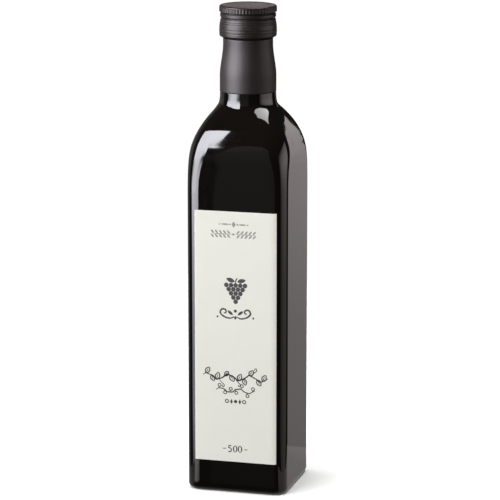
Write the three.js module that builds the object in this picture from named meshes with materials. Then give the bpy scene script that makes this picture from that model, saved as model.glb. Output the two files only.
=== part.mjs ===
// Vinegar bottle, 500 ml: a square bottle of dark glass, full and shut, with a
// black screw cap, a black sleeve shrunk round its neck and a tall paper label.
// Millimetres, +Z up. The origin is the middle of the base, and the label faces -Y.
import * as THREE from 'three';
import { mergeVertices } from 'three/addons/utils/BufferGeometryUtils.js';

// Driving dimensions of the glass
const BODY_SIDE = 57;
const BODY_CORNER = 7.6;
const HEEL_RADIUS = 3;
const RECESS_DEPTH = 1.5;
const BEARING_WIDTH = 4.2;
const CORNER_TURN_IN = 163.3;
const FACE_TURN_IN = 189.6;
const NECK_ROOT = 215.9;
const NECK_RADIUS = 15.3;
const ROOT_FILLET = 1;
const FACE_FULLNESS = 1.6;
const CORNER_FULLNESS = 3.75;
const RECESS_SLOPE = 2.5;

// Driving dimensions of the closure
const TOTAL_HEIGHT = 270.2;
const SLEEVE_BOTTOM = 222.7;
const SLEEVE_TOP = 252.2;
const SLEEVE_RADIUS = 15.6;
const SLEEVE_TOP_RADIUS = 13.75;
const SLEEVE_WALL = 0.6;
const TAPER_START = 231;
const TAPER_END = 249;
const CAP_BOTTOM = 252.5;
const CAP_RADIUS = 15.85;
const CAP_RIM_RADIUS = 14.45;
const CAP_EDGE = 1.2;
const BULGE_MIDDLE = 256.4;
const BULGE_CURVE = 0.018;
const LOW_GROOVE = 263.3;
const HIGH_GROOVE = 266.1;
const GROOVE_RADIUS = 14.95;
const GROOVE_HALF_WIDTH = 0.6;
const BEAD_RADIUS = 15.35;
const BAND_TOP = 269;
const CAP_BORE = 13.7;
const CAP_CEILING = 267.4;
const RIB_COUNT = 56;
const RIB_DEPTH = 0.3;
const FIT_GAP = 0.3;

// Driving dimensions of the label
const LABEL_BOTTOM = 18.1;
const LABEL_TOP = 160;
const LABEL_THICKNESS = 0.2;
const LABEL_WRAP_STEPS = 2;

const CORNER_STEPS = 10;
const HEEL_STEPS = 4;
const SHOULDER_STEPS = 16;
const SHOULDER_EASE = 0.8;
const ROOT_STEPS = 4;
const TAPER_STEPS = 4;
const SLEEVE_SIDES = 56;
const CORNER_COUNT = 4;

// One level section of the glass: a square of the given half side with round
// corners, as points that run anticlockwise seen from above.
function sectionPoints(halfSide, corner) {
  const points = [];
  const centre = halfSide - corner;
  for (let quarter = 0; quarter < CORNER_COUNT; quarter += 1) {
    const start = quarter * Math.PI / 2;
    const middle = start + Math.PI / 4;
    const centreX = Math.SQRT2 * centre * Math.cos(middle);
    const centreY = Math.SQRT2 * centre * Math.sin(middle);
    for (let step = 0; step <= CORNER_STEPS; step += 1) {
      const angle = start + step / CORNER_STEPS * Math.PI / 2;
      points.push([centreX + corner * Math.cos(angle), centreY + corner * Math.sin(angle)]);
    }
  }
  return points;
}

// A closed solid through rings of points, each { z, points }, ended by a fan to
// a point on the axis at either end. The rings run so that the faces point out.
function loft(rings, startZ, endZ) {
  const vertices = [0, 0, startZ];
  const triangles = [];
  const count = rings[0].points.length;
  for (const ring of rings) {
    for (const [x, y] of ring.points) {
      vertices.push(x, y, ring.z);
    }
  }
  vertices.push(0, 0, endZ);
  const endIndex = 1 + rings.length * count;
  for (let side = 0; side < count; side += 1) {
    const next = (side + 1) % count;
    triangles.push(0, 1 + next, 1 + side);
    for (let level = 0; level < rings.length - 1; level += 1) {
      const low = 1 + level * count;
      const high = low + count;
      triangles.push(low + side, low + next, high + next);
      triangles.push(low + side, high + next, high + side);
    }
    const last = endIndex - count;
    triangles.push(last + side, last + next, endIndex);
  }
  return closedGeometry(vertices, triangles);
}

// A geometry with its equal points shared and its empty triangles dropped.
function closedGeometry(vertices, triangles) {
  const loose = new THREE.BufferGeometry();
  loose.setAttribute('position', new THREE.Float32BufferAttribute(vertices, 3));
  loose.setIndex(triangles);
  const shared = mergeVertices(loose, 1e-4);
  const index = shared.getIndex().array;
  const kept = [];
  for (let at = 0; at < index.length; at += 3) {
    const [a, b, c] = [index[at], index[at + 1], index[at + 2]];
    if (a !== b && b !== c && c !== a) {
      kept.push(a, b, c);
    }
  }
  shared.setIndex(kept);
  shared.computeVertexNormals();
  return shared;
}

// The radius of a shoulder profile at a height. It leaves the body upright at
// turnIn and curves in to the neck root, with a soft fillet into the neck.
function shoulderRadius(z, turnIn, bodyRadius, fullness) {
  const span = NECK_ROOT - turnIn;
  const rise = bodyRadius - NECK_RADIUS;
  const soften = (reach) => (reach + Math.hypot(reach, 2 * ROOT_FILLET)) / 2;
  let reach = rise;
  if (z > NECK_ROOT) {
    reach = -rise * fullness * (z - NECK_ROOT) / span;
  } else if (z > turnIn) {
    reach = rise * (1 - ((z - turnIn) / span) ** fullness);
  }
  return NECK_RADIUS + rise * soften(reach) / soften(rise);
}

// The section of the shoulder at a height, from one profile up the middle of a
// face and one up the corners.
function shoulderRing(z) {
  const halfSide = BODY_SIDE / 2;
  const halfDiagonal = Math.SQRT2 * (halfSide - BODY_CORNER) + BODY_CORNER;
  const face = shoulderRadius(z, FACE_TURN_IN, halfSide, FACE_FULLNESS);
  const diagonal = shoulderRadius(z, CORNER_TURN_IN, halfDiagonal, CORNER_FULLNESS);
  const corner = (Math.SQRT2 * face - diagonal) / (Math.SQRT2 - 1);
  return { z, points: sectionPoints(face, Math.min(corner, face)) };
}

// The sleeve's outer radius: a straight skirt, then a smooth taper to the cap.
function sleeveRadius(z) {
  const along = THREE.MathUtils.smoothstep(z, TAPER_START, TAPER_END);
  return SLEEVE_RADIUS + (SLEEVE_TOP_RADIUS - SLEEVE_RADIUS) * along;
}

function taperLevels() {
  const levels = [];
  for (let step = 0; step <= TAPER_STEPS; step += 1) {
    levels.push(TAPER_START + step / TAPER_STEPS * (TAPER_END - TAPER_START));
  }
  return levels;
}

function circleRing(z, radius) {
  return { z, points: sectionPoints(radius, radius) };
}

// The foot of the glass: a shallow recess, a flat ring to stand on and a round heel.
function footRings() {
  const halfSide = BODY_SIDE / 2;
  const footCorner = BODY_CORNER - HEEL_RADIUS;
  const bearingInner = halfSide - HEEL_RADIUS - BEARING_WIDTH;
  const rings = [
    { z: RECESS_DEPTH, points: sectionPoints(bearingInner - RECESS_SLOPE, footCorner) },
    { z: 0, points: sectionPoints(bearingInner, footCorner) },
  ];
  for (let step = 0; step <= HEEL_STEPS; step += 1) {
    const angle = step / HEEL_STEPS * Math.PI / 2;
    const inset = HEEL_RADIUS * (1 - Math.sin(angle));
    const z = HEEL_RADIUS * (1 - Math.cos(angle));
    rings.push({ z, points: sectionPoints(halfSide - inset, BODY_CORNER - inset) });
  }
  return rings;
}

// The bottle is full and shut, so glass and contents are one solid. Its neck is
// set back under the sleeve and ends inside the cap.
function bottleGeometry() {
  const rings = footRings();
  for (let step = 0; step <= SHOULDER_STEPS; step += 1) {
    const along = (step / SHOULDER_STEPS) ** SHOULDER_EASE;
    rings.push(shoulderRing(CORNER_TURN_IN + along * (NECK_ROOT - CORNER_TURN_IN)));
  }
  const ledge = SLEEVE_BOTTOM - FIT_GAP;
  for (let step = 1; step <= ROOT_STEPS; step += 1) {
    rings.push(shoulderRing(NECK_ROOT + step / ROOT_STEPS * (ledge - NECK_ROOT)));
  }
  const neckInset = SLEEVE_WALL + FIT_GAP;
  for (const z of [ledge, ...taperLevels(), SLEEVE_TOP]) {
    rings.push(circleRing(z, sleeveRadius(z) - neckInset));
  }
  const finishTop = CAP_CEILING - FIT_GAP;
  rings.push(circleRing(SLEEVE_TOP, CAP_BORE - FIT_GAP));
  rings.push(circleRing(finishTop, CAP_BORE - FIT_GAP));
  return loft(rings, RECESS_DEPTH, finishTop);
}

// The sleeve is a thin tapered ring that hugs the neck.
function sleeveGeometry() {
  const levels = [SLEEVE_BOTTOM, ...taperLevels(), SLEEVE_TOP];
  const outside = levels.map((z) => new THREE.Vector2(sleeveRadius(z), z));
  const inside = levels.map((z) => new THREE.Vector2(sleeveRadius(z) - SLEEVE_WALL, z)).reverse();
  return uprightLathe([...outside, ...inside, outside[0]], SLEEVE_SIDES);
}

// LatheGeometry turns about Y, so it is stood up on Z and closed.
function uprightLathe(profile, sides) {
  const turned = new THREE.LatheGeometry(profile, sides);
  turned.rotateX(Math.PI / 2);
  turned.deleteAttribute('normal');
  turned.deleteAttribute('uv');
  return closedGeometry([...turned.getAttribute('position').array], [...turned.getIndex().array]);
}

// The cap is a cup over the neck finish. Its rim bulges, two grooves part a plain
// bead from the ribbed band, and the top edge is rounded.
function capGeometry() {
  const rings = [ribRing(CAP_CEILING, CAP_BORE, 0), ribRing(CAP_BOTTOM, CAP_BORE, 0)];
  rings.push(ribRing(CAP_BOTTOM, CAP_RIM_RADIUS, 0));
  const bulgeFoot = CAP_BOTTOM + CAP_EDGE / 2;
  const bulgeTop = LOW_GROOVE - GROOVE_HALF_WIDTH;
  const upperBulge = (BULGE_MIDDLE + bulgeTop) / 2;
  for (const z of [bulgeFoot, bulgeFoot + CAP_EDGE, BULGE_MIDDLE, upperBulge, bulgeTop]) {
    rings.push(ribRing(z, CAP_RADIUS - BULGE_CURVE * (z - BULGE_MIDDLE) ** 2, 0));
  }
  rings.push(ribRing(LOW_GROOVE, GROOVE_RADIUS, 0));
  rings.push(ribRing(LOW_GROOVE + GROOVE_HALF_WIDTH, BEAD_RADIUS, 0));
  rings.push(ribRing(HIGH_GROOVE - GROOVE_HALF_WIDTH, BEAD_RADIUS, 0));
  rings.push(ribRing(HIGH_GROOVE, GROOVE_RADIUS, 0));
  rings.push(ribRing(HIGH_GROOVE + GROOVE_HALF_WIDTH, CAP_RADIUS, RIB_DEPTH));
  rings.push(ribRing(BAND_TOP, CAP_RADIUS, RIB_DEPTH));
  rings.push(ribRing(TOTAL_HEIGHT - CAP_EDGE / 3, CAP_RADIUS - CAP_EDGE / 3, 0));
  rings.push(ribRing(TOTAL_HEIGHT, CAP_RADIUS - CAP_EDGE, 0));
  return loft(rings, CAP_CEILING, TOTAL_HEIGHT);
}

// A ring of the cap; on the ribbed band every second point lies in a groove.
function ribRing(z, radius, depth) {
  const count = 2 * RIB_COUNT;
  const points = [];
  for (let side = 0; side < count; side += 1) {
    const angle = side / count * 2 * Math.PI;
    const reach = radius - (side % 2) * depth;
    points.push([reach * Math.cos(angle), reach * Math.sin(angle)]);
  }
  return { z, points };
}

// The label lies on the front face and its edges just follow the corner rounding,
// so its back uses the same points as the glass behind it.
function labelGeometry() {
  const centre = BODY_SIDE / 2 - BODY_CORNER;
  const edge = (radius, steps) => {
    const angle = steps / CORNER_STEPS * Math.PI / 2;
    return [centre + radius * Math.sin(angle), -centre - radius * Math.cos(angle)];
  };
  const steps = [];
  for (let step = 0; step <= LABEL_WRAP_STEPS; step += 1) {
    steps.push(step);
  }
  const rightFront = steps.map((step) => edge(BODY_CORNER + LABEL_THICKNESS, step));
  const rightBack = steps.map((step) => edge(BODY_CORNER, step)).reverse();
  const right = [...rightFront, ...rightBack];
  const left = right.map(([x, y]) => [-x, y]).reverse();
  const shape = new THREE.Shape([...right, ...left].map(([x, y]) => new THREE.Vector2(x, y)));
  const plate = new THREE.ExtrudeGeometry(shape, {
    depth: LABEL_TOP - LABEL_BOTTOM,
    bevelEnabled: false,
  });
  plate.translate(0, 0, LABEL_BOTTOM);
  return plate;
}

function piece(name, geometry, color, roughness, metalness) {
  const material = new THREE.MeshStandardMaterial({ color, roughness, metalness });
  const mesh = new THREE.Mesh(geometry, material);
  mesh.name = name;
  return mesh;
}

const group = new THREE.Group();
group.add(piece('bottle', bottleGeometry(), 0x0c0a08, 0.06, 0));
group.add(piece('neck_sleeve', sleeveGeometry(), 0x2b2829, 0.45, 0));
group.add(piece('cap', capGeometry(), 0x2e2a2a, 0.4, 0.2));
group.add(piece('label', labelGeometry(), 0xe9e8e1, 0.85, 0));

export default group;
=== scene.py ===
import bpy
import math
from mathutils import Matrix, Vector


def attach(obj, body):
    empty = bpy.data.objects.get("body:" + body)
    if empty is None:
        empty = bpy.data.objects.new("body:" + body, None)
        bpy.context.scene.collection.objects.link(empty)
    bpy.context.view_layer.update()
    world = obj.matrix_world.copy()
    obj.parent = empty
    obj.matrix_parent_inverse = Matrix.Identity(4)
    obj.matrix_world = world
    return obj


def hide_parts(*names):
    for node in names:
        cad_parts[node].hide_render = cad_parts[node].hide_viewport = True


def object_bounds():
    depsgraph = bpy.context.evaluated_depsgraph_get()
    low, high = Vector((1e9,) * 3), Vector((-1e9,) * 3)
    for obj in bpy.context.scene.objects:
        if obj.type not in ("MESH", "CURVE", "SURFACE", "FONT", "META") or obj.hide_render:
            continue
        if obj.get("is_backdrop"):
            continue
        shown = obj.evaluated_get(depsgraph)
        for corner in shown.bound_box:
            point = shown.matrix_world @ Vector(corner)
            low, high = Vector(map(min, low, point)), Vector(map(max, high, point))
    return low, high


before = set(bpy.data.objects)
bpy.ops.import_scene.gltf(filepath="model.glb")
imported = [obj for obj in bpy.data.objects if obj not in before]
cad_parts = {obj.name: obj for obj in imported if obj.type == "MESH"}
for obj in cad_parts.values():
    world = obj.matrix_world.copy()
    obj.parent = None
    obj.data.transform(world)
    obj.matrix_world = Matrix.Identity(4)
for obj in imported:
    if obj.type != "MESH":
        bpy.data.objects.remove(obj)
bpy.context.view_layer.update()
MM = 0.001

# The camera: a long lens, a little above the bottle, that looks down on its front and
# right faces. Its place and angle come from the bottle's outline in the photograph.
CAMERA_TURN = math.radians(15.371)
CAMERA_RISE = math.radians(12.119)
CAMERA_AWAY = 1484 * MM
PICTURE_PIXELS = 500
PIXELS_PER_MM = 1.792
AIM_RIGHT = 1.051 * MM
AIM_HEIGHT = 132.797 * MM
SENSOR_WIDTH = 36
NEAREST_SEEN, FARTHEST_SEEN = 0.05, 20

look_from = Vector((
    math.sin(CAMERA_TURN) * math.cos(CAMERA_RISE),
    -math.cos(CAMERA_TURN) * math.cos(CAMERA_RISE),
    math.sin(CAMERA_RISE),
))
aim = Vector((AIM_RIGHT * math.cos(CAMERA_TURN), AIM_RIGHT * math.sin(CAMERA_TURN), AIM_HEIGHT))
camera = bpy.data.objects.new("camera", bpy.data.cameras.new("camera"))
bpy.context.scene.collection.objects.link(camera)
camera.data.sensor_width = SENSOR_WIDTH
camera.data.lens = SENSOR_WIDTH * PIXELS_PER_MM * (CAMERA_AWAY / MM) / PICTURE_PIXELS
camera.data.clip_start, camera.data.clip_end = NEAREST_SEEN, FARTHEST_SEEN
camera.location = aim + look_from * CAMERA_AWAY
camera.rotation_mode = "QUATERNION"
camera.rotation_quaternion = (-look_from).to_track_quat("-Z", "Y")
bpy.context.scene.camera = camera

# The bottle: moulded dark glass, square with round corners, so full of dark vinegar that
# nothing shows through. The shoulder closes in to a round neck, and the foot has a low
# recess inside the ring that it stands on.
BODY_SIDE = 57
BODY_CORNER = 7.6
HEEL_RADIUS = 3
RECESS_DEPTH = 1.5
BEARING_WIDTH = 4.2
BEARING_MIDDLE = 1.4
RECESS_SLOPE = 2.5
RECESS_ROUND, RECESS_SQUARE = 4, 11
CORNER_TURN_IN = 163.3
FACE_TURN_IN = 189.6
NECK_ROOT = 215.9
NECK_RADIUS = 15.3
ROOT_FILLET = 1
FACE_FULLNESS = 1.6
CORNER_FULLNESS = 3.75
SLEEVE_BOTTOM = 222.7
SLEEVE_TOP = 252.2
SLEEVE_RADIUS = 15.6
SLEEVE_TOP_RADIUS = 13.75
TAPER_START, TAPER_END = 231, 249
FILM_STEP = 0.3
BODY_BOW = math.radians(0.1)
SHOULDER_BOW = math.radians(1.6)
NECK_BOW = math.radians(20)
LEAST_BOW = math.radians(0.01)
BOW_START, BOW_SPAN = FACE_TURN_IN + 5, 16
ROUNDING_START = 206
SOFT_REACH = 6
SOFT_IN, SOFT_OUT = 12, 8
SOFT_SHARES = (1, 4, 7, 8, 7, 4, 1)
FINISH_RADIUS = 13.4
FINISH_TOP = 267.1
FINISH_EDGE = 0.4
RECESS_STEPS, HEEL_STEPS, BODY_STEPS = 8, 12, 12
SHOULDER_STEPS, NECK_STEPS, FILM_STEPS = 90, 16, 24


class Wire:
    """A node's output. Sums and products of wires add the maths nodes they need,
    and node() adds any other node to the same tree."""

    def __init__(self, tree, socket=None):
        self.tree, self.socket = tree, socket

    def node(self, kind, settings=(), sockets=(), output=0):
        made = self.tree.nodes.new(kind)
        for name, value in dict(settings).items():
            setattr(made, name, value)
        for key, value in dict(sockets).items():
            if isinstance(value, Wire):
                self.tree.links.new(value.socket, made.inputs[key])
            else:
                made.inputs[key].default_value = value
        return Wire(self.tree, made.outputs[output] if made.outputs else None)

    def other(self, output):
        return Wire(self.tree, self.socket.node.outputs[output])

    def maths(self, operation, *values, clamp=False):
        return self.node(
            "ShaderNodeMath",
            {"operation": operation, "use_clamp": clamp},
            dict(enumerate((self, *values))),
        )

    def __add__(self, other):
        return self.maths("ADD", other)

    __radd__ = __add__

    def __mul__(self, other):
        return self.maths("MULTIPLY", other)

    __rmul__ = __mul__

    def __sub__(self, other):
        return self.maths("SUBTRACT", other)

    def __rsub__(self, other):
        return other + self * -1

    def __truediv__(self, other):
        return self.maths("DIVIDE", other)

    def __pow__(self, other):
        return self.maths("POWER", other)


def new_tree(name, **inputs):
    """A tree for a modifier with a geometry input and output and the named inputs."""
    tree = bpy.data.node_groups.new(name, "GeometryNodeTree")
    tree.interface.new_socket("Geometry", in_out="INPUT", socket_type="NodeSocketGeometry")
    for label, kind in inputs.items():
        tree.interface.new_socket(label, in_out="INPUT", socket_type="NodeSocket" + kind)
    tree.interface.new_socket("Geometry", in_out="OUTPUT", socket_type="NodeSocketGeometry")
    return tree, Wire(tree).node("NodeGroupInput")


def end_tree(shape, material, rounded=True):
    """Closes a tree: one plain mesh in the given material."""
    plain = shape.node("GeometryNodeRealizeInstances", {}, {0: shape})
    shaded = plain.node("GeometryNodeSetShadeSmooth", {}, {0: plain, "Shade Smooth": rounded})
    named = shaded.node("GeometryNodeSetMaterial", {}, {0: shaded, "Material": material})
    named.node("NodeGroupOutput", {}, {0: named})


def grow(name, chains, tree, **inputs):
    """Runs a tree on chains of points and keeps what comes out as a plain piece. The
    attribute "extra" holds each point's fourth number."""
    start = bpy.data.meshes.new(name)
    points, links = [], []
    for chain in chains:
        links += [(len(points) + at, len(points) + at + 1) for at in range(len(chain) - 1)]
        points += chain
    start.from_pydata([Vector(point[:3]) * MM for point in points], links, [])
    extra = start.attributes.new("extra", "FLOAT", "POINT")
    for spot, point in zip(extra.data, points):
        spot.value = point[3] if len(point) > 3 else LEAST_BOW
    piece = bpy.data.objects.new(name, start)
    bpy.context.scene.collection.objects.link(piece)
    form = piece.modifiers.new("form", "NODES")
    form.node_group = tree
    for item in tree.interface.items_tree:
        if item.in_out == "INPUT" and item.name in inputs:
            form[item.identifier] = inputs[item.name]
    view = bpy.context.evaluated_depsgraph_get()
    made = bpy.data.meshes.new_from_object(piece.evaluated_get(view), depsgraph=view)
    piece.modifiers.remove(form)
    piece.data = made
    made.name = name
    return piece


def glass_material():
    glass = bpy.data.materials.new("dark_bottle_glass")
    glass.use_nodes = True
    start = Wire(glass.node_tree)
    glass.node_tree.nodes.clear()
    place = start.node("ShaderNodeTexCoord", {}, {}, "Object")
    slow = start.node("ShaderNodeMapping", {}, {"Vector": place, "Scale": (1, 1, 0.35)})
    swell = start.node("ShaderNodeTexNoise", {}, {"Vector": slow, "Scale": 45, "Detail": 1})
    haze = start.node("ShaderNodeTexNoise", {}, {"Vector": place, "Scale": 160, "Detail": 4})
    tint = start.node(
        "ShaderNodeMix", {"data_type": "RGBA"},
        {0: swell, 6: (0.0032, 0.0026, 0.0022, 1), 7: (0.0052, 0.0040, 0.0030, 1)}, 2,
    )
    waves = start.node(
        "ShaderNodeBump", {}, {"Strength": 0.25, "Distance": 0.0004, "Height": swell}
    )
    shader = start.node(
        "ShaderNodeBsdfPrincipled", {},
        {
            "Base Color": tint,
            "Roughness": haze * 0.03 + 0.015,
            "IOR": 1.52,
            "Normal": waves,
        },
    )
    start.node("ShaderNodeOutputMaterial", {}, {"Surface": shader})
    return glass


def shell_tree(material):
    """A shell through level sections. Each point of the start mesh gives one, as its half
    side, its corner radius and its height, and as extra the turn of its bowed sides."""
    tree, given = new_tree("sectioned_shell", **{"Face Steps": "Int", "Corner Steps": "Int"})
    face_steps, corner_steps = given.other("Face Steps"), given.other("Corner Steps")
    rows = given.node("GeometryNodeAttributeDomainSize", {}, {"Geometry": given}, "Point Count")
    quarter_steps = face_steps + corner_steps
    grid = given.node(
        "GeometryNodeMeshGrid", {},
        {"Vertices X": quarter_steps * 4 + 1, "Vertices Y": rows},
    )
    index = given.node("GeometryNodeInputIndex")
    row = index.maths("MODULO", rows)
    column = (index / rows).maths("FLOOR")
    quarter = (column / quarter_steps).maths("FLOOR")
    step = column - quarter * quarter_steps
    along = (step / face_steps).maths("MINIMUM", 1)
    turn = ((step - face_steps) / corner_steps).maths("MAXIMUM", 0)
    position = given.node("GeometryNodeInputPosition")
    section = given.node(
        "GeometryNodeSampleIndex", {"data_type": "FLOAT_VECTOR"},
        {"Geometry": given, "Value": position, "Index": row},
    )
    named = given.node(
        "GeometryNodeInputNamedAttribute", {"data_type": "FLOAT"}, {"Name": "extra"}
    )
    bow = given.node(
        "GeometryNodeSampleIndex", {"data_type": "FLOAT"},
        {"Geometry": given, "Value": named, "Index": row},
    )
    half = section.node("ShaderNodeSeparateXYZ", {}, {0: section})
    corner, height = half.other("Y"), half.other("Z")
    bow_sine, bow_cosine = bow.maths("SINE"), bow.maths("COSINE")
    excess = (half - corner) / (bow_sine + 1 - bow_cosine)
    swing = bow * ((along - 0.5) * math.pi).maths("SINE")
    bend = bow + turn * (math.pi / 2 - bow * 2)
    reach = excess + corner
    out = half - reach * (1 - swing.maths("COSINE")) + corner * (bend.maths("COSINE") - bow_cosine)
    side = reach * swing.maths("SINE") + corner * (bend.maths("SINE") - bow_sine)
    cosine = (quarter * (math.pi / 2)).maths("COSINE")
    sine = (quarter * (math.pi / 2)).maths("SINE")
    spot = half.node(
        "ShaderNodeCombineXYZ", {},
        {0: out * cosine - side * sine, 1: out * sine + side * cosine, 2: height},
    )
    placed = spot.node("GeometryNodeSetPosition", {}, {"Geometry": grid, "Position": spot})
    closed = placed.node("GeometryNodeMergeByDistance", {}, {0: placed, "Distance": 1e-6})
    end_tree(closed, material)
    return tree


def shoulder_radius(z, turn_in, body_radius, fullness):
    """The radius at a height: upright up to turn_in, then a curve in to the neck root
    with a soft fillet into the neck."""
    span = NECK_ROOT - turn_in
    rise = body_radius - NECK_RADIUS

    def soften(reach):
        return (reach + math.hypot(reach, 2 * ROOT_FILLET)) / 2

    reach = rise
    if z > NECK_ROOT:
        reach = -rise * fullness * (z - NECK_ROOT) / span
    elif z > turn_in:
        reach = rise * (1 - ((z - turn_in) / span) ** fullness)
    return NECK_RADIUS + rise * soften(reach) / soften(rise)


def smooth(t):
    t = min(max(t, 0), 1)
    return t * t * (3 - 2 * t)


def eased_radius(z, *rule):
    """The same curve with its turn-in worn soft, as glass leaves the mould."""
    middle = len(SOFT_SHARES) // 2
    softness = smooth((z - CORNER_TURN_IN) / SOFT_IN) * smooth((NECK_ROOT - z) / SOFT_OUT)
    spread = SOFT_REACH / middle * softness
    total = sum(
        share * shoulder_radius(z + (at - middle) * spread, *rule)
        for at, share in enumerate(SOFT_SHARES)
    )
    return total / sum(SOFT_SHARES)


def shoulder_section(z):
    """The sides are all but flat on the body, bow out a little on the shoulder, and
    end as round as the neck. The corner keeps the width over the corners."""
    half = BODY_SIDE / 2
    diagonal = math.sqrt(2) * (half - BODY_CORNER) + BODY_CORNER
    face = eased_radius(z, FACE_TURN_IN, half, FACE_FULLNESS)
    across = eased_radius(z, CORNER_TURN_IN, diagonal, CORNER_FULLNESS)
    rounding = smooth((z - ROUNDING_START) / (NECK_ROOT - ROUNDING_START)) ** 2
    bow = BODY_BOW + (SHOULDER_BOW - BODY_BOW) * smooth((z - BOW_START) / BOW_SPAN)
    bow += (NECK_BOW - SHOULDER_BOW) * rounding
    share = (1 + math.tan(bow / 2)) / math.sqrt(2)
    corner = (face - share * across) / (1 - share)
    return face, min(corner, face), z, bow


def sleeve_radius(z):
    taper = smooth((z - TAPER_START) / (TAPER_END - TAPER_START))
    return SLEEVE_RADIUS + (SLEEVE_TOP_RADIUS - SLEEVE_RADIUS) * taper


foot_corner = BODY_CORNER - HEEL_RADIUS
bearing_inner = BODY_SIDE / 2 - HEEL_RADIUS - BEARING_WIDTH
floor_edge = bearing_inner - RECESS_SLOPE
sections = [
    (0, 0, RECESS_DEPTH), (RECESS_ROUND, RECESS_ROUND, RECESS_DEPTH),
    (RECESS_SQUARE, foot_corner, RECESS_DEPTH),
]
for step in range(RECESS_STEPS + 1):
    share = step / RECESS_STEPS
    sections.append(
        (floor_edge + RECESS_SLOPE * share, foot_corner, RECESS_DEPTH * (1 - smooth(share)))
    )
sections.append((bearing_inner + BEARING_MIDDLE, foot_corner, 0))
for step in range(HEEL_STEPS + 1):
    angle = step / HEEL_STEPS * math.pi / 2
    inset = HEEL_RADIUS * (1 - math.sin(angle))
    sections.append(
        (BODY_SIDE / 2 - inset, BODY_CORNER - inset, HEEL_RADIUS * (1 - math.cos(angle)))
    )
for step in range(1, BODY_STEPS):
    rise = (1 - math.cos(step / BODY_STEPS * math.pi)) / 2
    sections.append(shoulder_section(HEEL_RADIUS + (CORNER_TURN_IN - HEEL_RADIUS) * rise))
for step in range(SHOULDER_STEPS + 1):
    rise = (step / SHOULDER_STEPS) ** 0.9
    sections.append(shoulder_section(CORNER_TURN_IN + (NECK_ROOT - CORNER_TURN_IN) * rise))
for step in range(1, NECK_STEPS + 1):
    rise = step / NECK_STEPS
    sections.append(shoulder_section(NECK_ROOT + (SLEEVE_BOTTOM - NECK_ROOT) * rise))
for step in range(1, FILM_STEPS + 1):
    z = SLEEVE_BOTTOM + (SLEEVE_TOP - SLEEVE_BOTTOM) * step / FILM_STEPS
    sections.append((sleeve_radius(z) - FILM_STEP, sleeve_radius(z) - FILM_STEP, z))
for radius, z in (
    (FINISH_RADIUS, SLEEVE_TOP), (FINISH_RADIUS, FINISH_TOP - FINISH_EDGE),
    (FINISH_RADIUS - FINISH_EDGE, FINISH_TOP), (0, FINISH_TOP),
):
    sections.append((radius, radius, z))

glass = glass_material()
shell = shell_tree(glass)
bottle = grow(
    "bottle_glass", [sections], shell, **{"Face Steps": 12, "Corner Steps": 24}
)
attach(bottle, "root")
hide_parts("bottle")

# The sleeve: a black film, shrunk on to the neck, matt with a soft sheen. Its lower edge
# ends square on the glass, and its top ends just under the cap.
FILM_WALL = 0.25
SLEEVE_STEPS = 48

film = bpy.data.materials.new("shrunk_film")
film.use_nodes = True
film.node_tree.nodes.clear()
start = Wire(film.node_tree)
place = start.node("ShaderNodeTexCoord", {}, {}, "Object")
upright = start.node("ShaderNodeMapping", {}, {"Vector": place, "Scale": (1, 1, 0.12)})
streaks = start.node("ShaderNodeTexNoise", {}, {"Vector": upright, "Scale": 420, "Detail": 3})
grain = start.node("ShaderNodeTexNoise", {}, {"Vector": place, "Scale": 2600, "Detail": 2})
cloud = start.node("ShaderNodeTexNoise", {}, {"Vector": place, "Scale": 90, "Detail": 2})
tint = start.node(
    "ShaderNodeMix", {"data_type": "RGBA"},
    {0: streaks, 6: (0.008, 0.006, 0.0062, 1), 7: (0.018, 0.0118, 0.0105, 1)}, 2,
)
relief = start.node(
    "ShaderNodeBump", {},
    {"Strength": 0.2, "Distance": 0.00004, "Height": streaks * 0.7 + grain * 0.3},
)
shader = start.node(
    "ShaderNodeBsdfPrincipled", {},
    {
        "Base Color": tint,
        "Roughness": cloud * 0.1 + 0.42,
        "IOR": 1.5,
        "Specular IOR Level": 0.36,
        "Normal": relief,
    },
)
start.node("ShaderNodeOutputMaterial", {}, {"Surface": shader})

sections = []
for step in range(SLEEVE_STEPS + 1):
    z = SLEEVE_BOTTOM + (SLEEVE_TOP - SLEEVE_BOTTOM) * step / SLEEVE_STEPS
    sections.append((sleeve_radius(z), sleeve_radius(z), z))
inner = [(r - FILM_WALL, r - FILM_WALL, z) for r, _, z in reversed(sections)]
sections = sections + inner + sections[:1]
sleeve = grow(
    "sleeve_film", [sections], shell_tree(film),
    **{"Face Steps": 1, "Corner Steps": 32},
)
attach(sleeve, "root")
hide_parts("neck_sleeve")

# The cap: a screw cap of thin metal with a matt black coat. It has a wide bulged skirt
# with fine rolled lines, a bead between two grooves, a knurled band and a round edge.
TOTAL_HEIGHT = 270.2
CAP_BOTTOM = 252.5
CAP_RADIUS = 15.85
CAP_RIM_RADIUS = 14.45
CAP_EDGE = 1.2
BULGE_MIDDLE = 256.4
BULGE_CURVE = 0.018
RIM_INSIDE = 0.2
RIM_LIP = 0.08
RIM_ROLL, RIM_ROLL_HEIGHT = CAP_RADIUS - CAP_RIM_RADIUS - RIM_INSIDE, 1.3
LOW_GROOVE, HIGH_GROOVE = 263.3, 266.1
GROOVE_HALF_WIDTH = 0.69
GROOVE_RADIUS = 14.75
BEAD_RADIUS = 15.35
BAND_TOP = 269
TOP_RIM_OUTER, TOP_RIM_INNER, TOP_RIM_FALL = 13.6, 12.6, 0.02
DISH_SLOPE, DISH_DEPTH = 0.72, 0.16
CAP_BORE = 13.7
CAP_CEILING = 267.4
BORE_ROUND = 0.4
LEAD_IN_WIDTH, LEAD_IN_HEIGHT = 0.1, 0.15
RIB_COUNT = 56
RIB_DEPTH = 0.25
RIB_START, RIB_RISE = HIGH_GROOVE + 0.35, 0.45
RIB_END, RIB_FALL = BAND_TOP - 0.2, 0.7
ROLLED_LINES = (255.4, 257.2, 260.3, 261.4)
LINE_DEPTH, LINE_WIDTH = 0.14, 0.17
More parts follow.
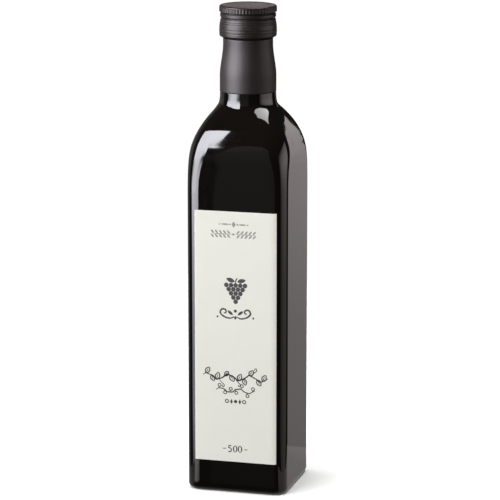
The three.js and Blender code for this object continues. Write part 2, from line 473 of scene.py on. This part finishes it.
PROUD_FROM, PROUD_SPAN = 15.62, 0.2
WALL_STEPS, EDGE_STEPS, DISH_STEPS = 110, 10, 6


def cap_radius(z):
    """The outer radius of the cap's wall at a height, with its grooves and lines."""
    if z < LOW_GROOVE:
        radius = CAP_RADIUS - BULGE_CURVE * (z - BULGE_MIDDLE) ** 2
        radius -= RIM_ROLL * (1 - smooth((z - CAP_BOTTOM) / RIM_ROLL_HEIGHT)) ** 2
    elif z < HIGH_GROOVE:
        radius = BEAD_RADIUS
    else:
        radius = CAP_RADIUS
    for groove in (LOW_GROOVE, HIGH_GROOVE):
        near = 1 - smooth(abs(z - groove) / GROOVE_HALF_WIDTH)
        radius += (GROOVE_RADIUS - radius) * near
    for line in ROLLED_LINES:
        radius -= LINE_DEPTH * math.exp(-(((z - line) / LINE_WIDTH) ** 2))
    return radius


def rib_depth(z):
    rise = smooth((z - RIB_START) / RIB_RISE)
    return RIB_DEPTH * rise * (1 - smooth((z - RIB_END) / RIB_FALL))


coat = bpy.data.materials.new("black_cap_coat")
coat.use_nodes = True
coat.node_tree.nodes.clear()
start = Wire(coat.node_tree)
place = start.node("ShaderNodeTexCoord", {}, {}, "Object")
grain = start.node("ShaderNodeTexNoise", {}, {"Vector": place, "Scale": 3200, "Detail": 2})
cloud = start.node("ShaderNodeTexNoise", {}, {"Vector": place, "Scale": 240, "Detail": 4})
axis = start.node("ShaderNodeSeparateXYZ", {}, {0: place})
reach = (axis * axis + axis.other("Y") * axis.other("Y")).maths("SQRT")
# Where the cap stands out furthest, in the middle of the skirt's bulge and on the crests of the
# knurl, its coat is painted lighter. This leaves the grooves, the bead and the rib valleys darker
# as painted shade. These raised parts are also a little less rough.
raised_painted_lighter = ((reach - PROUD_FROM * MM) / (PROUD_SPAN * MM)).maths("MAXIMUM", 0).maths("MINIMUM", 1)
tint = start.node(
    "ShaderNodeMix", {"data_type": "RGBA"},
    {0: cloud * 0.6 + raised_painted_lighter * 0.2, 6: (0.010, 0.007, 0.0065, 1), 7: (0.024, 0.017, 0.0155, 1)}, 2,
)
relief = start.node("ShaderNodeBump", {}, {"Strength": 0.3, "Distance": 0.00004, "Height": grain})
shader = start.node(
    "ShaderNodeBsdfPrincipled", {},
    {
        "Base Color": tint,
        "Roughness": cloud * 0.12 + 0.33 - raised_painted_lighter * 0.04,
        "IOR": 1.5,
        "Specular IOR Level": 0.28,
        "Normal": relief,
    },
)
start.node("ShaderNodeOutputMaterial", {}, {"Surface": shader})

tree, given = new_tree(
    "ribbed_cap", **{"Rib Count": "Int", "Steps Per Rib": "Int", "Rib Roundness": "Float"}
)
ribs = given.other("Rib Count")
rows = given.node("GeometryNodeAttributeDomainSize", {}, {"Geometry": given}, "Point Count")
around = ribs * given.other("Steps Per Rib")
grid = given.node("GeometryNodeMeshGrid", {}, {"Vertices X": around + 1, "Vertices Y": rows})
index = given.node("GeometryNodeInputIndex")
angle = (index / rows).maths("FLOOR") / around * (2 * math.pi)
position = given.node("GeometryNodeInputPosition")
section = given.node(
    "GeometryNodeSampleIndex", {"data_type": "FLOAT_VECTOR"},
    {"Geometry": given, "Value": position, "Index": index.maths("MODULO", rows)},
)
radius = section.node("ShaderNodeSeparateXYZ", {}, {0: section})
depth, height = radius.other("Y"), radius.other("Z")
furrow = (0.5 - (angle * ribs).maths("COSINE") * 0.5) ** given.other("Rib Roundness")
reach = radius - depth * furrow
spot = radius.node(
    "ShaderNodeCombineXYZ", {},
    {0: reach * angle.maths("COSINE"), 1: reach * angle.maths("SINE"), 2: height},
)
placed = spot.node("GeometryNodeSetPosition", {}, {"Geometry": grid, "Position": spot})
closed = placed.node("GeometryNodeMergeByDistance", {}, {0: placed, "Distance": 1e-6})
end_tree(closed, coat)

profile = [
    (0, 0, CAP_CEILING), (CAP_BORE - BORE_ROUND, 0, CAP_CEILING),
    (CAP_BORE, 0, CAP_CEILING - BORE_ROUND), (CAP_BORE, 0, CAP_BOTTOM + LEAD_IN_HEIGHT),
    (CAP_BORE + LEAD_IN_WIDTH, 0, CAP_BOTTOM), (CAP_RIM_RADIUS - RIM_INSIDE, 0, CAP_BOTTOM),
]
for step in range(WALL_STEPS + 1):
    z = CAP_BOTTOM + RIM_LIP + (BAND_TOP - CAP_BOTTOM - RIM_LIP) * step / WALL_STEPS
    profile.append((cap_radius(z), rib_depth(z), z))
for step in range(1, EDGE_STEPS + 1):
    angle = step / EDGE_STEPS * math.pi / 2
    z = BAND_TOP + CAP_EDGE * math.sin(angle)
    radius = CAP_RADIUS - CAP_EDGE * (1 - math.cos(angle))
    profile.append((radius, rib_depth(z), z))
rim_height = TOTAL_HEIGHT - TOP_RIM_FALL
profile += [(TOP_RIM_OUTER, 0, TOTAL_HEIGHT), (TOP_RIM_INNER, 0, rim_height)]
for step in range(1, DISH_STEPS + 1):
    share = step / DISH_STEPS
    z = rim_height - DISH_DEPTH * smooth(share)
    profile.append((TOP_RIM_INNER - DISH_SLOPE * share, 0, z))
profile += [(radius, 0, rim_height - DISH_DEPTH) for radius in (8, 3, 0)]
cap = grow(
    "screw_cap", [profile], tree,
    **{"Rib Count": RIB_COUNT, "Steps Per Rib": 6, "Rib Roundness": 0.8},
)
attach(cap, "root")
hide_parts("cap")

# The label: one tall sheet of uncoated cream paper, glued flat on the front. Its side
# edges just follow the rounding of the corners.
LABEL_BOTTOM = 18.1
LABEL_TOP = 160
LABEL_LIFT = 0.16
LABEL_REACH = math.radians(18)
LABEL_ASIDE = 0.6
LABEL_EDGE = 0.05
GLUE_LINE = 0.005
LABEL_COLUMNS, LABEL_ROWS = 24, 6

paper = bpy.data.materials.new("cream_paper")
paper.use_nodes = True
paper.node_tree.nodes.clear()
start = Wire(paper.node_tree)
place = start.node("ShaderNodeTexCoord", {}, {}, "Object")
fibres = start.node("ShaderNodeTexNoise", {}, {"Vector": place, "Scale": 900, "Detail": 5})
tooth = start.node("ShaderNodeTexNoise", {}, {"Vector": place, "Scale": 3800, "Detail": 2})
patch = start.node("ShaderNodeTexNoise", {}, {"Vector": place, "Scale": 60, "Detail": 2})
shade = (fibres * 0.5 + patch * 0.5 - 0.35).maths("MULTIPLY", 2.2, clamp=True)
tint = start.node(
    "ShaderNodeMix", {"data_type": "RGBA"},
    {0: shade, 6: (0.805, 0.803, 0.742, 1), 7: (0.850, 0.848, 0.790, 1)}, 2,
)
relief = start.node(
    "ShaderNodeBump", {},
    {"Strength": 0.3, "Distance": 0.00006, "Height": fibres * 0.6 + tooth * 0.4},
)
shader = start.node(
    "ShaderNodeBsdfPrincipled", {},
    {"Base Color": tint, "Roughness": fibres * 0.1 + 0.8, "IOR": 1.4, "Normal": relief},
)
start.node("ShaderNodeOutputMaterial", {}, {"Surface": shader})


def front_point(along, lift):
    """A point of the front face and its corners, given the distance along the
    surface from the middle and the lift off the glass."""
    flat = BODY_SIDE / 2 - BODY_CORNER
    past = max(abs(along) - flat, 0) / BODY_CORNER
    side = math.copysign(1, along)
    x = min(abs(along), flat) + (BODY_CORNER + lift) * math.sin(past)
    return side * x, -flat - (BODY_CORNER + lift) * math.cos(past)


half_width = BODY_SIDE / 2 - BODY_CORNER + BODY_CORNER * LABEL_REACH
heights = [
    LABEL_BOTTOM + LABEL_EDGE,
    *[LABEL_BOTTOM + (LABEL_TOP - LABEL_BOTTOM) * row / LABEL_ROWS for row in range(1, LABEL_ROWS)],
    LABEL_TOP - LABEL_EDGE,
]
loops = []
for step in range(LABEL_COLUMNS + 1):
    sweep = math.sin((step / LABEL_COLUMNS - 0.5) * math.pi)
    along = LABEL_ASIDE + half_width * sweep
    inward = LABEL_ASIDE + (half_width - LABEL_EDGE) * sweep
    loops.append([
        (*front_point(along, GLUE_LINE), LABEL_BOTTOM),
        (*front_point(along, LABEL_LIFT - LABEL_EDGE), LABEL_BOTTOM),
        *[(*front_point(inward, LABEL_LIFT), z) for z in heights],
        (*front_point(along, LABEL_LIFT - LABEL_EDGE), LABEL_TOP),
        (*front_point(along, GLUE_LINE), LABEL_TOP),
    ])
deep = len(loops[0])
points = [Vector(point) * MM for loop in loops for point in loop]
faces = []
for column in range(len(loops) - 1):
    for row in range(deep):
        after = (row + 1) % deep
        low, high = column * deep, (column + 1) * deep
        faces.append((low + row, high + row, high + after, low + after))
faces.append(tuple(range(deep)))
faces.append(tuple(reversed(range((len(loops) - 1) * deep, len(loops) * deep))))
sheet = bpy.data.meshes.new("label_paper")
sheet.from_pydata(points, [], faces)
sheet.materials.append(paper)
label = bpy.data.objects.new("label_paper", sheet)
bpy.context.scene.collection.objects.link(label)
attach(label, "root")
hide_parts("label")

# The print on the label: black and grey ink, a few hundredths of a millimetre thick on
# the paper. It is ruled ornament, a bunch of grapes, a scroll, a vine drawn loosely with
# a pen, and the contents in millilitres as a plain number.
PAPER_FRONT = -BODY_SIDE / 2 - LABEL_LIFT
INK_PROUD = 0.03
INK_SUNK = 0.01
FINE_TIP = 0.03
PEN_WIDTH = 0.78
BLOT_STEPS, RING_STEPS = 10, 24
RULE_MIDDLE, RULE_HEIGHT = -0.9, 152.9
LAUREL_MIDDLE, LAUREL_HEIGHT = -1.1, 147.4
LAUREL_START, LAUREL_PITCH, LAUREL_LEAN = 1.9, 2.3, 42
GRAPE_ROWS, GRAPE_SIZE = 5, 2.58
GRAPES_MIDDLE, GRAPES_TOP = 0.2, 118.9
GRAPE_PITCH, GRAPE_ROW_PITCH = 2.65, 2.3
STEM_LENGTH, STEM_HEIGHT, STEM_POINTS = 37.2, 66.6, 24
TWIG_LENGTH, TWIG_HEIGHT, TWIG_POINTS = 22.4, 59.1, 14
NUMBER_MIDDLE, NUMBER_HEIGHT = -0.25, 25.5


def ink_material(name, thin, full):
    ink = bpy.data.materials.new(name)
    ink.use_nodes = True
    ink.node_tree.nodes.clear()
    start = Wire(ink.node_tree)
    place = start.node("ShaderNodeTexCoord", {}, {}, "Object")
    specks = start.node("ShaderNodeTexNoise", {}, {"Vector": place, "Scale": 2600, "Detail": 3})
    pools = start.node("ShaderNodeTexNoise", {}, {"Vector": place, "Scale": 500, "Detail": 2})
    cover = (specks * 0.6 + pools * 0.4 - 0.3).maths("MULTIPLY", 2.5, clamp=True)
    tint = start.node("ShaderNodeMix", {"data_type": "RGBA"}, {0: cover, 6: thin, 7: full}, 2)
    relief = start.node(
        "ShaderNodeBump", {}, {"Strength": 0.3, "Distance": 0.00003, "Height": specks}
    )
    shader = start.node(
        "ShaderNodeBsdfPrincipled", {},
        {"Base Color": tint, "Roughness": 0.72 - pools * 0.15, "IOR": 1.45, "Normal": relief},
    )
    start.node("ShaderNodeOutputMaterial", {}, {"Surface": shader})
    return ink


def stroke_tree(material):
    """Flat strokes of ink along chains of points. Extra is half the stroke's width."""
    tree, given = new_tree(
        "flat_strokes",
        **{"Paper Front": "Float", "Ink Proud": "Float", "Ink Sunk": "Float", "Aside": "Float"},
    )
    lines = given.node("GeometryNodeMeshToCurve", {}, {0: given})
    level = lines.node(
        "GeometryNodeSetCurveNormal", {"mode": "FREE"}, {0: lines, "Normal": (0, -1, 0)}
    )
    half_width = given.node(
        "GeometryNodeInputNamedAttribute", {"data_type": "FLOAT"}, {"Name": "extra"}
    )
    square = given.node(
        "GeometryNodeCurvePrimitiveQuadrilateral", {}, {"Width": 2, "Height": 2}
    )
    swept = level.node(
        "GeometryNodeCurveToMesh", {},
        {0: level, "Profile Curve": square, "Scale": half_width * MM, "Fill Caps": True},
    )
    position = given.node("GeometryNodeInputPosition")
    x = position.node("ShaderNodeSeparateXYZ", {}, {0: position})
    front, sunk = given.other("Paper Front"), given.other("Ink Sunk")
    outside = (front - x.other("Y")).maths("GREATER_THAN", 0)
    lift = outside * (given.other("Ink Proud") + sunk) - sunk
    spot = x.node(
        "ShaderNodeCombineXYZ", {},
        {0: x + given.other("Aside"), 1: front - lift, 2: x.other("Z")},
    )
    pressed = swept.node("GeometryNodeSetPosition", {}, {0: swept, "Position": spot})
    end_tree(pressed, material, rounded=False)
    return tree


def pen(path, width=PEN_WIDTH, steps=7, tip=0.35):
    """A stroke through the points of a path, thinner at both ends."""
    ends = [path[0], *path, path[-1]]
    drawn = []
    for at in range(len(path) - 1):
        before, low, high, after = [Vector(point) for point in ends[at:at + 4]]
        for step in range(steps + (at == len(path) - 2)):
            t = step / steps
            spot = low + 0.5 * t * (
                high - before
                + t * (2 * before - 5 * low + 4 * high - after)
                + t * t * (3 * low - 3 * high + after - before)
            )
            share = (at + t) / (len(path) - 1)
            press = tip + (1 - tip) * math.sin(math.pi * share) ** 0.4
            press *= 1 + 0.12 * math.sin(9 * (spot.x + spot.y))
            drawn.append((spot.x, PAPER_FRONT, spot.y, width / 2 * press))
    return drawn


def blot(x, z, turn, length, breadth, point=0.5):
    """A filled shape about a middle line: round at 0.5 and pointed towards 1."""
    drawn = []
    for step in range(BLOT_STEPS + 1):
        along = -math.cos(step / BLOT_STEPS * math.pi)
        reach = along * length / 2
        drawn.append((
            x + reach * math.cos(turn), PAPER_FRONT, z + reach * math.sin(turn),
            FINE_TIP + breadth / 2 * max(1 - along * along, 0) ** point,
        ))
    return drawn


def lozenge(x, z, wide, high):
    return [
        (x - wide / 2, PAPER_FRONT, z, FINE_TIP), (x, PAPER_FRONT, z, high / 2),
        (x + wide / 2, PAPER_FRONT, z, FINE_TIP),
    ]


def leaf(x, z, turn, length):
    """A leaf in outline with its middle vein, from its stalk at x, z."""
    def place(along, out):
        return (
            x + length * (along * math.cos(turn) - out * math.sin(turn)),
            z + length * (along * math.sin(turn) + out * math.cos(turn)),
        )

    edge = ((0, 0), (0.2, 0.2), (0.5, 0.29), (0.8, 0.16), (1, 0))
    upper = [place(along, out) for along, out in edge]
    lower = [place(along, -out) for along, out in edge]
    return [
        pen(upper, PEN_WIDTH * 0.85, 4), pen(lower, PEN_WIDTH * 0.85, 4),
        pen([place(0.05, 0), place(0.4, 0.02), place(0.72, 0)], PEN_WIDTH * 0.55, 4),
    ]


def ring(x, z, wide, high, width, swell=0):
    """A closed round stroke, broader at its sides where it swells."""
    drawn = []
    for step in range(RING_STEPS + 1):
        angle = step / RING_STEPS * 2 * math.pi
        side = math.cos(angle)
        drawn.append((
            x + wide / 2 * side, PAPER_FRONT, z + high / 2 * math.sin(angle),
            width / 2 * (1 + swell * side * side),
        ))
    return drawn


grey_strokes = [lozenge(RULE_MIDDLE, RULE_HEIGHT, 2.3, 3.6)]
for side in (-1, 1):
    grey_strokes += [
        blot(RULE_MIDDLE + side * 4.9, RULE_HEIGHT, 0, 5, 0.85, 1),
        blot(RULE_MIDDLE + side * 2.1, RULE_HEIGHT, 0, 0.9, 0.9),
        blot(RULE_MIDDLE + side * 8, RULE_HEIGHT, 0, 0.8, 0.8),
    ]
for side in (-1, 1):
    grey_strokes.append(blot(LAUREL_MIDDLE + side * 6.4, LAUREL_HEIGHT, 0, 12, 0.4, 1))
    for place in range(5):
        x = LAUREL_MIDDLE + side * (LAUREL_START + place * LAUREL_PITCH)
        for lean in (-1, 1):
            turn = lean * math.radians(90 - lean * side * LAUREL_LEAN)
            grey_strokes.append(
                blot(x + side * 0.8, LAUREL_HEIGHT + lean * 1.15, turn, 2.5, 0.95, 0.8)
            )
grey_strokes.append(blot(LAUREL_MIDDLE, LAUREL_HEIGHT, 0, 1.2, 1.2))

black_strokes = []
for row in range(GRAPE_ROWS):
    last = GRAPE_ROWS - 1 - row
    for place in range(last + 1):
        x = GRAPES_MIDDLE + (place - last / 2) * GRAPE_PITCH
        z = GRAPES_TOP - row * GRAPE_ROW_PITCH
        black_strokes.append(blot(x, z, 0, GRAPE_SIZE, GRAPE_SIZE))
black_strokes += [
    pen([(0.1, 120.2), (0.3, 121.6), (1.2, 123)], 0.7),
    blot(-2.7, 121.7, math.radians(160), 5, 2.4, 0.8),
    blot(3.5, 121.5, math.radians(12), 4.8, 2.3, 0.8),
]
scroll = [
    (0.7, 101.2), (3, 100.2), (6.3, 100.9), (8.6, 103), (7.7, 105.1), (5.8, 105), (5.3, 103.5),
    (6.6, 102.9),
]
for side in (-1, 1):
    black_strokes += [
        pen([(side * x, z) for x, z in scroll], 0.95),
        blot(side * 2.9, 103.3, side * math.radians(38), 3.8, 1.5, 0.8),
        blot(side * 10.2, 100.8, 0, 1.1, 1.1),
    ]
black_strokes += [blot(0, 104.4, 0, 1.7, 1.7), lozenge(0, 100.6, 1.6, 2.4)]

stem = []
for step in range(STEM_POINTS + 1):
    wave = 1.5 * math.sin(step * 0.79 + 0.4) + 0.25 * math.sin(step * 2.3)
    stem.append((STEM_LENGTH * (step / STEM_POINTS - 0.5), STEM_HEIGHT + wave))
black_strokes.append(pen(stem, 0.75, 4))
for step, turn, length in (
    (1, 58, 4.1), (3, -62, 3.9), (5, 72, 4.3), (8, 50, 3.6), (10, -55, 4.2), (13, 66, 4.2),
    (15, -70, 3.8), (17, 47, 4.0), (20, -58, 4.0), (22, 63, 4.2),
):
    black_strokes += leaf(*stem[step], math.radians(turn), length)
curl = [(0, 0), (0.72, 1.3), (1.84, 2.4), (2.8, 3.3), (2.56, 4.5), (1.68, 4.2), (1.92, 3.4)]
for step, side in ((6, -1), (12, -1), (18, 1)):
    x, z = stem[step]
    black_strokes.append(pen([(x + out, z + side * up) for out, up in curl], 0.5))
twig = []
for step in range(TWIG_POINTS + 1):
    wave = 1.1 * math.sin(step * 0.95) + 0.2 * math.sin(step * 2.9)
    twig.append((TWIG_LENGTH * (step / TWIG_POINTS - 0.5), TWIG_HEIGHT + wave))
black_strokes.append(pen(twig, 0.7, 5))
for step, side in ((1, 1), (3, -1), (5, 1), (7, -1), (9, 1), (11, -1), (13, 1)):
    x, z = twig[step]
    black_strokes += [
        pen([(x, z), (x + 0.3, z + side * 0.9)], 0.45, 3),
        ring(x + 0.5, z + side * 1.75, 1.7, 1.7, 0.5),
    ]
black_strokes += [
    ring(-4.9, 52.9, 1.8, 1.8, 0.55), lozenge(-2.3, 52.8, 1.5, 3), blot(0.1, 52.9, 0, 1.9, 1.9),
    lozenge(2.5, 52.8, 1.5, 3), ring(5, 52.9, 1.8, 1.8, 0.55),
]
five = [
    (-4.15, 25.9), (-3.9, 26.05), (-3, 25.9), (-2.35, 25.1), (-2.65, 24.1), (-3.5, 23.75),
    (-4.25, 24.1),
]
black_strokes += [
    pen(five, 0.6, 5, 0.7), pen([(-4.1, 25.9), (-3.85, 27.35)], 0.45, 3, 0.8),
    pen([(-3.85, 27.3), (-2.4, 27.3)], 0.6, 3, 0.8), ring(-0.2, 25.55, 1.9, 3.6, 0.36, 1),
    ring(2.6, 25.55, 1.9, 3.6, 0.36, 1),
]
for side in (-1, 1):
    black_strokes.append(blot(NUMBER_MIDDLE + side * 6.2, NUMBER_HEIGHT, 0, 2.2, 0.45, 1))

ink_sizes = {
    "Paper Front": PAPER_FRONT * MM, "Ink Proud": INK_PROUD * MM, "Ink Sunk": INK_SUNK * MM,
    "Aside": LABEL_ASIDE * MM,
}
for name, strokes, thin, full in (
    ("black_ink", black_strokes, (0.030, 0.028, 0.027, 1), (0.012, 0.011, 0.011, 1)),
    ("grey_ink", grey_strokes, (0.30, 0.29, 0.27, 1), (0.20, 0.19, 0.18, 1)),
):
    print_piece = grow(name, strokes, stroke_tree(ink_material(name, thin, full)), **ink_sizes)
    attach(print_piece, "root")

# The floor and the light: a plain white table in a white studio. White cards stand round
# it, bright at the left and overhead and dim elsewhere, for the polished glass to show.
# Two soft lamps light the paper and the table.
TABLE_X, TABLE_Y = 0.6, 0.5
ROOM_SEEN, ROOM_ON_MATT, ROOM_IN_GLASS = 1.03, 0.39655, 0.01545
CARD_STEPS = 24
CARD_FOOT = -0.3
TABLE_SKIN = 0.0004
FOOT_EDGE, FRONT_SKIN_EDGE, SKIN_EDGE = 0.0255, 0.0305, 0.068
COOL, PLAIN, WARM = (0.98, 0.98, 1.06), (1, 0.985, 0.96), (1.08, 0.975, 0.97)

table = bpy.data.meshes.new("floor")
table.from_pydata(
    [(x * TABLE_X, y * TABLE_Y, 0) for x, y in ((-1, -1), (1, -1), (1, 1), (-1, 1))],
    [], [(0, 1, 2, 3)],
)
floor = bpy.data.objects.new("floor", table)
bpy.context.scene.collection.objects.link(floor)
white = bpy.data.materials.new("white_table")
white.use_nodes = True
white.node_tree.nodes.clear()
start = Wire(white.node_tree)
matt = start.node("ShaderNodeBsdfDiffuse", {}, {"Color": (0.86, 0.86, 0.86, 1)})
start.node("ShaderNodeOutputMaterial", {}, {"Surface": matt})
table.materials.append(white)
floor.visible_glossy = floor.visible_diffuse = False
floor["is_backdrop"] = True

room = bpy.data.worlds.new("room")
bpy.context.scene.world = room
room.use_nodes = True
room.node_tree.nodes.clear()
start = Wire(room.node_tree)
seen = start.node("ShaderNodeLightPath", {}, {}, "Is Camera Ray")
soft = seen.other("Is Diffuse Ray")
level = seen * ROOM_SEEN + soft * ROOM_ON_MATT + ROOM_IN_GLASS
glow = start.node("ShaderNodeBackground", {}, {"Color": (1, 0.995, 0.98, 1), "Strength": level})
start.node("ShaderNodeOutputWorld", {}, {"Surface": glow})

card_white = bpy.data.materials.new("card_white")
card_white.use_nodes = True
card_white.node_tree.nodes.clear()
start = Wire(card_white.node_tree)
level = start.node("ShaderNodeAttribute", {"attribute_name": "light"}, {}, "Color")
shine = start.node("ShaderNodeEmission", {}, {"Color": level, "Strength": 1})
start.node("ShaderNodeOutputMaterial", {}, {"Surface": shine})


def between(values, place):
    """A value part of the way along a list, with the list's ends at 0 and 1."""
    at = min(max(place, 0), 1) * (len(values) - 1)
    low = min(int(at), len(values) - 2)
    return values[low] + (values[low + 1] - values[low]) * (at - low)


def card(name, corners, rows, tint):
    """A card that only reflections see. Its corners are x, y, z: left foot, right
    foot, right top, left top. The rows give its light from foot to top, left to right."""
    left_foot, right_foot, right_top, left_top = [Vector(corner) for corner in corners]
    points, lights, faces = [], [], []
    for up in range(CARD_STEPS + 1):
        for over in range(CARD_STEPS + 1):
            u, v = over / CARD_STEPS, up / CARD_STEPS
            foot, top = left_foot.lerp(right_foot, u), left_top.lerp(right_top, u)
            points.append(foot.lerp(top, v))
            lights.append(between([between(row, u) for row in rows], v))
    wide = CARD_STEPS + 1
    for up in range(CARD_STEPS):
        for over in range(CARD_STEPS):
            at = up * wide + over
            faces.append((at, at + 1, at + 1 + wide, at + wide))
    mesh = bpy.data.meshes.new(name)
    mesh.from_pydata(points, [], faces)
    shown = mesh.attributes.new("light", "FLOAT_COLOR", "POINT")
    for spot, light in zip(shown.data, lights):
        spot.color = (*[light * share for share in tint], 1)
    mesh.materials.append(card_white)
    made = bpy.data.objects.new(name, mesh)
    bpy.context.scene.collection.objects.link(made)
    made.visible_camera = made.visible_diffuse = made.visible_shadow = False
    made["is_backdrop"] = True


def stand(turn, away, height):
    """A point round the bottle: degrees to the right of the front, distance, height."""
    return away * math.sin(math.radians(turn)), -away * math.cos(math.radians(turn)), height


card(
    "left_card",
    (stand(-70, 1.05, 0), stand(-17.6, 1.0, 0), stand(-17.6, 1.0, 0.58), stand(-79, 1.05, 0.56)),
    [
        [10, 11, 11, 10], [3, 11, 12, 0], [3, 7.5, 12, 12, 12, 2, 0],
        [12, 12.8, 13.5, 13.8, 14, 11, 5], [12, 13.5, 14, 14],
        [13, 14.5, 15, 16], [13, 15, 16, 16.5],
    ], COOL,
)
card(
    "left_high_card",
    (
        stand(-79, 1.05, 0.56), stand(-17.6, 1.0, 0.58), stand(-22.5, 1.0, 1.16),
        stand(-80, 1.08, 1.04),
    ),
    [[13, 15, 16.5], [12, 15, 17]], COOL,
)
card(
    "left_low_card",
    (
        stand(-69, 1.05, CARD_FOOT), stand(-18, 1.0, CARD_FOOT), stand(-18, 1.0, -0.001),
        stand(-70, 1.05, -0.001),
    ),
    [[0, 0.5, 0.3], [3, 3.1, 3.1], [3.5, 3.6, 3.6], [5.6, 5.8, 5.6], [9.5, 10, 9.6]], COOL,
)
card(
    "overhead_card",
    ((0.036, -0.28, 1.39), (0.57, 0.07, 1.39), (0.57, 0.8, 1.39), (0.036, 0.8, 1.39)),
    [[7, 8], [9, 9]], PLAIN,
)
card(
    "right_card",
    (
        stand(62, 1.2, CARD_FOOT), stand(131, 1.2, CARD_FOOT), stand(131, 1.2, 0.6),
        stand(62, 1.2, 0.6),
    ),
    [
        [0.1, 0.33, 0.4, 0.38, 0.2], [0.1, 0.4, 0.48, 0.46, 0.3], [0.1, 0.95, 1.1, 1.1, 0.7],
        [0.1, 1.5, 1.9, 1.8, 1.0], [0.05, 1.3, 1.8, 1.6, 0.9], [0, 0, 0.5, 0.9, 0.5],
    ], WARM,
)
card(
    "back_low_card",
    (
        stand(160, 1.0, CARD_FOOT), stand(182, 1.0, CARD_FOOT), stand(182, 1.0, 0.007),
        stand(160, 1.0, 0.007),
    ),
    [[0.36, 0.31, 0.28], [0.45, 0.38, 0.34], [0.68, 0.57, 0.48]], WARM,
)
# Narrow cards, one above another, that the right shoulder shows. Each line holds the left
# edge and the right edge in degrees, the height and the light.
strip = (
    (159.5, 168, -0.02, 0.66), (159.8, 166.5, 0.02, 0.68), (160, 164.3, 0.06, 0.78),
    (160.3, 162.7, 0.095, 0.86), (160.5, 161.8, 0.14, 0.93), (160.5, 161.9, 0.23, 1.05),
    (161, 163.5, 0.31, 1.2), (162.4, 165, 0.36, 1.3),
)
for at, (low, high) in enumerate(zip(strip, strip[1:])):
    card(
        f"back_card_{at + 1}",
        (
            stand(low[0], 1.0, low[2]), stand(low[1], 1.0, low[2]),
            stand(high[1], 1.0, high[2]), stand(high[0], 1.0, high[2]),
        ),
        [[low[3], low[3]], [high[3], high[3]]], WARM,
    )
card(
    "cap_top_card",
    (stand(190, 0.9, 0.38), stand(212, 0.9, 0.38), stand(212, 0.9, 0.62), stand(190, 0.9, 0.62)),
    [[1.1, 1.4, 1.1], [1.1, 1.4, 1.1]], WARM,
)
card(
    "left_back_card",
    (
        stand(186, 1.0, CARD_FOOT), stand(262, 1.0, CARD_FOOT), stand(262, 1.0, 0.7),
        stand(186, 1.0, 0.7),
    ),
    [
        [0.35, 0.2, 0.15], [0.2, 0.25, 0.2], [0.01, 0.3, 0.4], [0.01, 0.15, 0.2],
        [0.01, 0.04, 0.05],
    ], PLAIN,
)
card(
    "front_card",
    (
        stand(-16.5, 1.0, -0.32), stand(16, 1.0, -0.32), stand(16, 1.0, 0.68),
        stand(-16.5, 1.0, 0.68),
    ),
    [[0.04, 0.04], [0.14, 0.1], [0.18, 0.14], [0.2, 0.15], [0.3, 0.2]], PLAIN,
)
# The table close round the foot, as the turned-in heel shows it.
for name, turn, out, rows in (
    ("front_table_card", 0, FRONT_SKIN_EDGE, [[0.6, 0.6], [0.3, 0.3], [0.04, 0.04]]),
    ("right_table_card", 90, SKIN_EDGE, [[0.4, 0.4], [0.5, 0.5]]),
    ("back_table_card", 180, SKIN_EDGE, [[0.4, 0.4], [0.5, 0.5]]),
    ("left_table_card", 270, SKIN_EDGE, [[0.4, 0.4], [0.3, 0.3]]),
):
    spin = Matrix.Rotation(math.radians(turn), 3, "Z")
    flat = ((-FOOT_EDGE, -FOOT_EDGE), (FOOT_EDGE, -FOOT_EDGE), (out, -out), (-out, -out))
    card(name, [spin @ Vector((x, y, TABLE_SKIN)) for x, y in flat], rows, WARM)


def lamp(name, place, target, size, power):
    """A soft white lamp for matt surfaces, which reflections do not see."""
    light = bpy.data.lights.new(name, "AREA")
    light.shape = "SQUARE"
    light.size, light.energy = size, power
    made = bpy.data.objects.new(name, light)
    bpy.context.scene.collection.objects.link(made)
    made.location = place
    made.rotation_mode = "QUATERNION"
    made.rotation_quaternion = (Vector(target) - Vector(place)).to_track_quat("-Z", "Y")
    made.visible_camera = made.visible_glossy = False


lamp("left_lamp", stand(-42, 0.75, 0.62), (0, 0, 0.14), 0.7, 6.8)
lamp("overhead_lamp", (-0.06, 0.08, 1.3), (0, 0, 0), 1, 21.5)

bpy.context.scene.view_settings.view_transform = "Standard"

low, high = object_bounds()
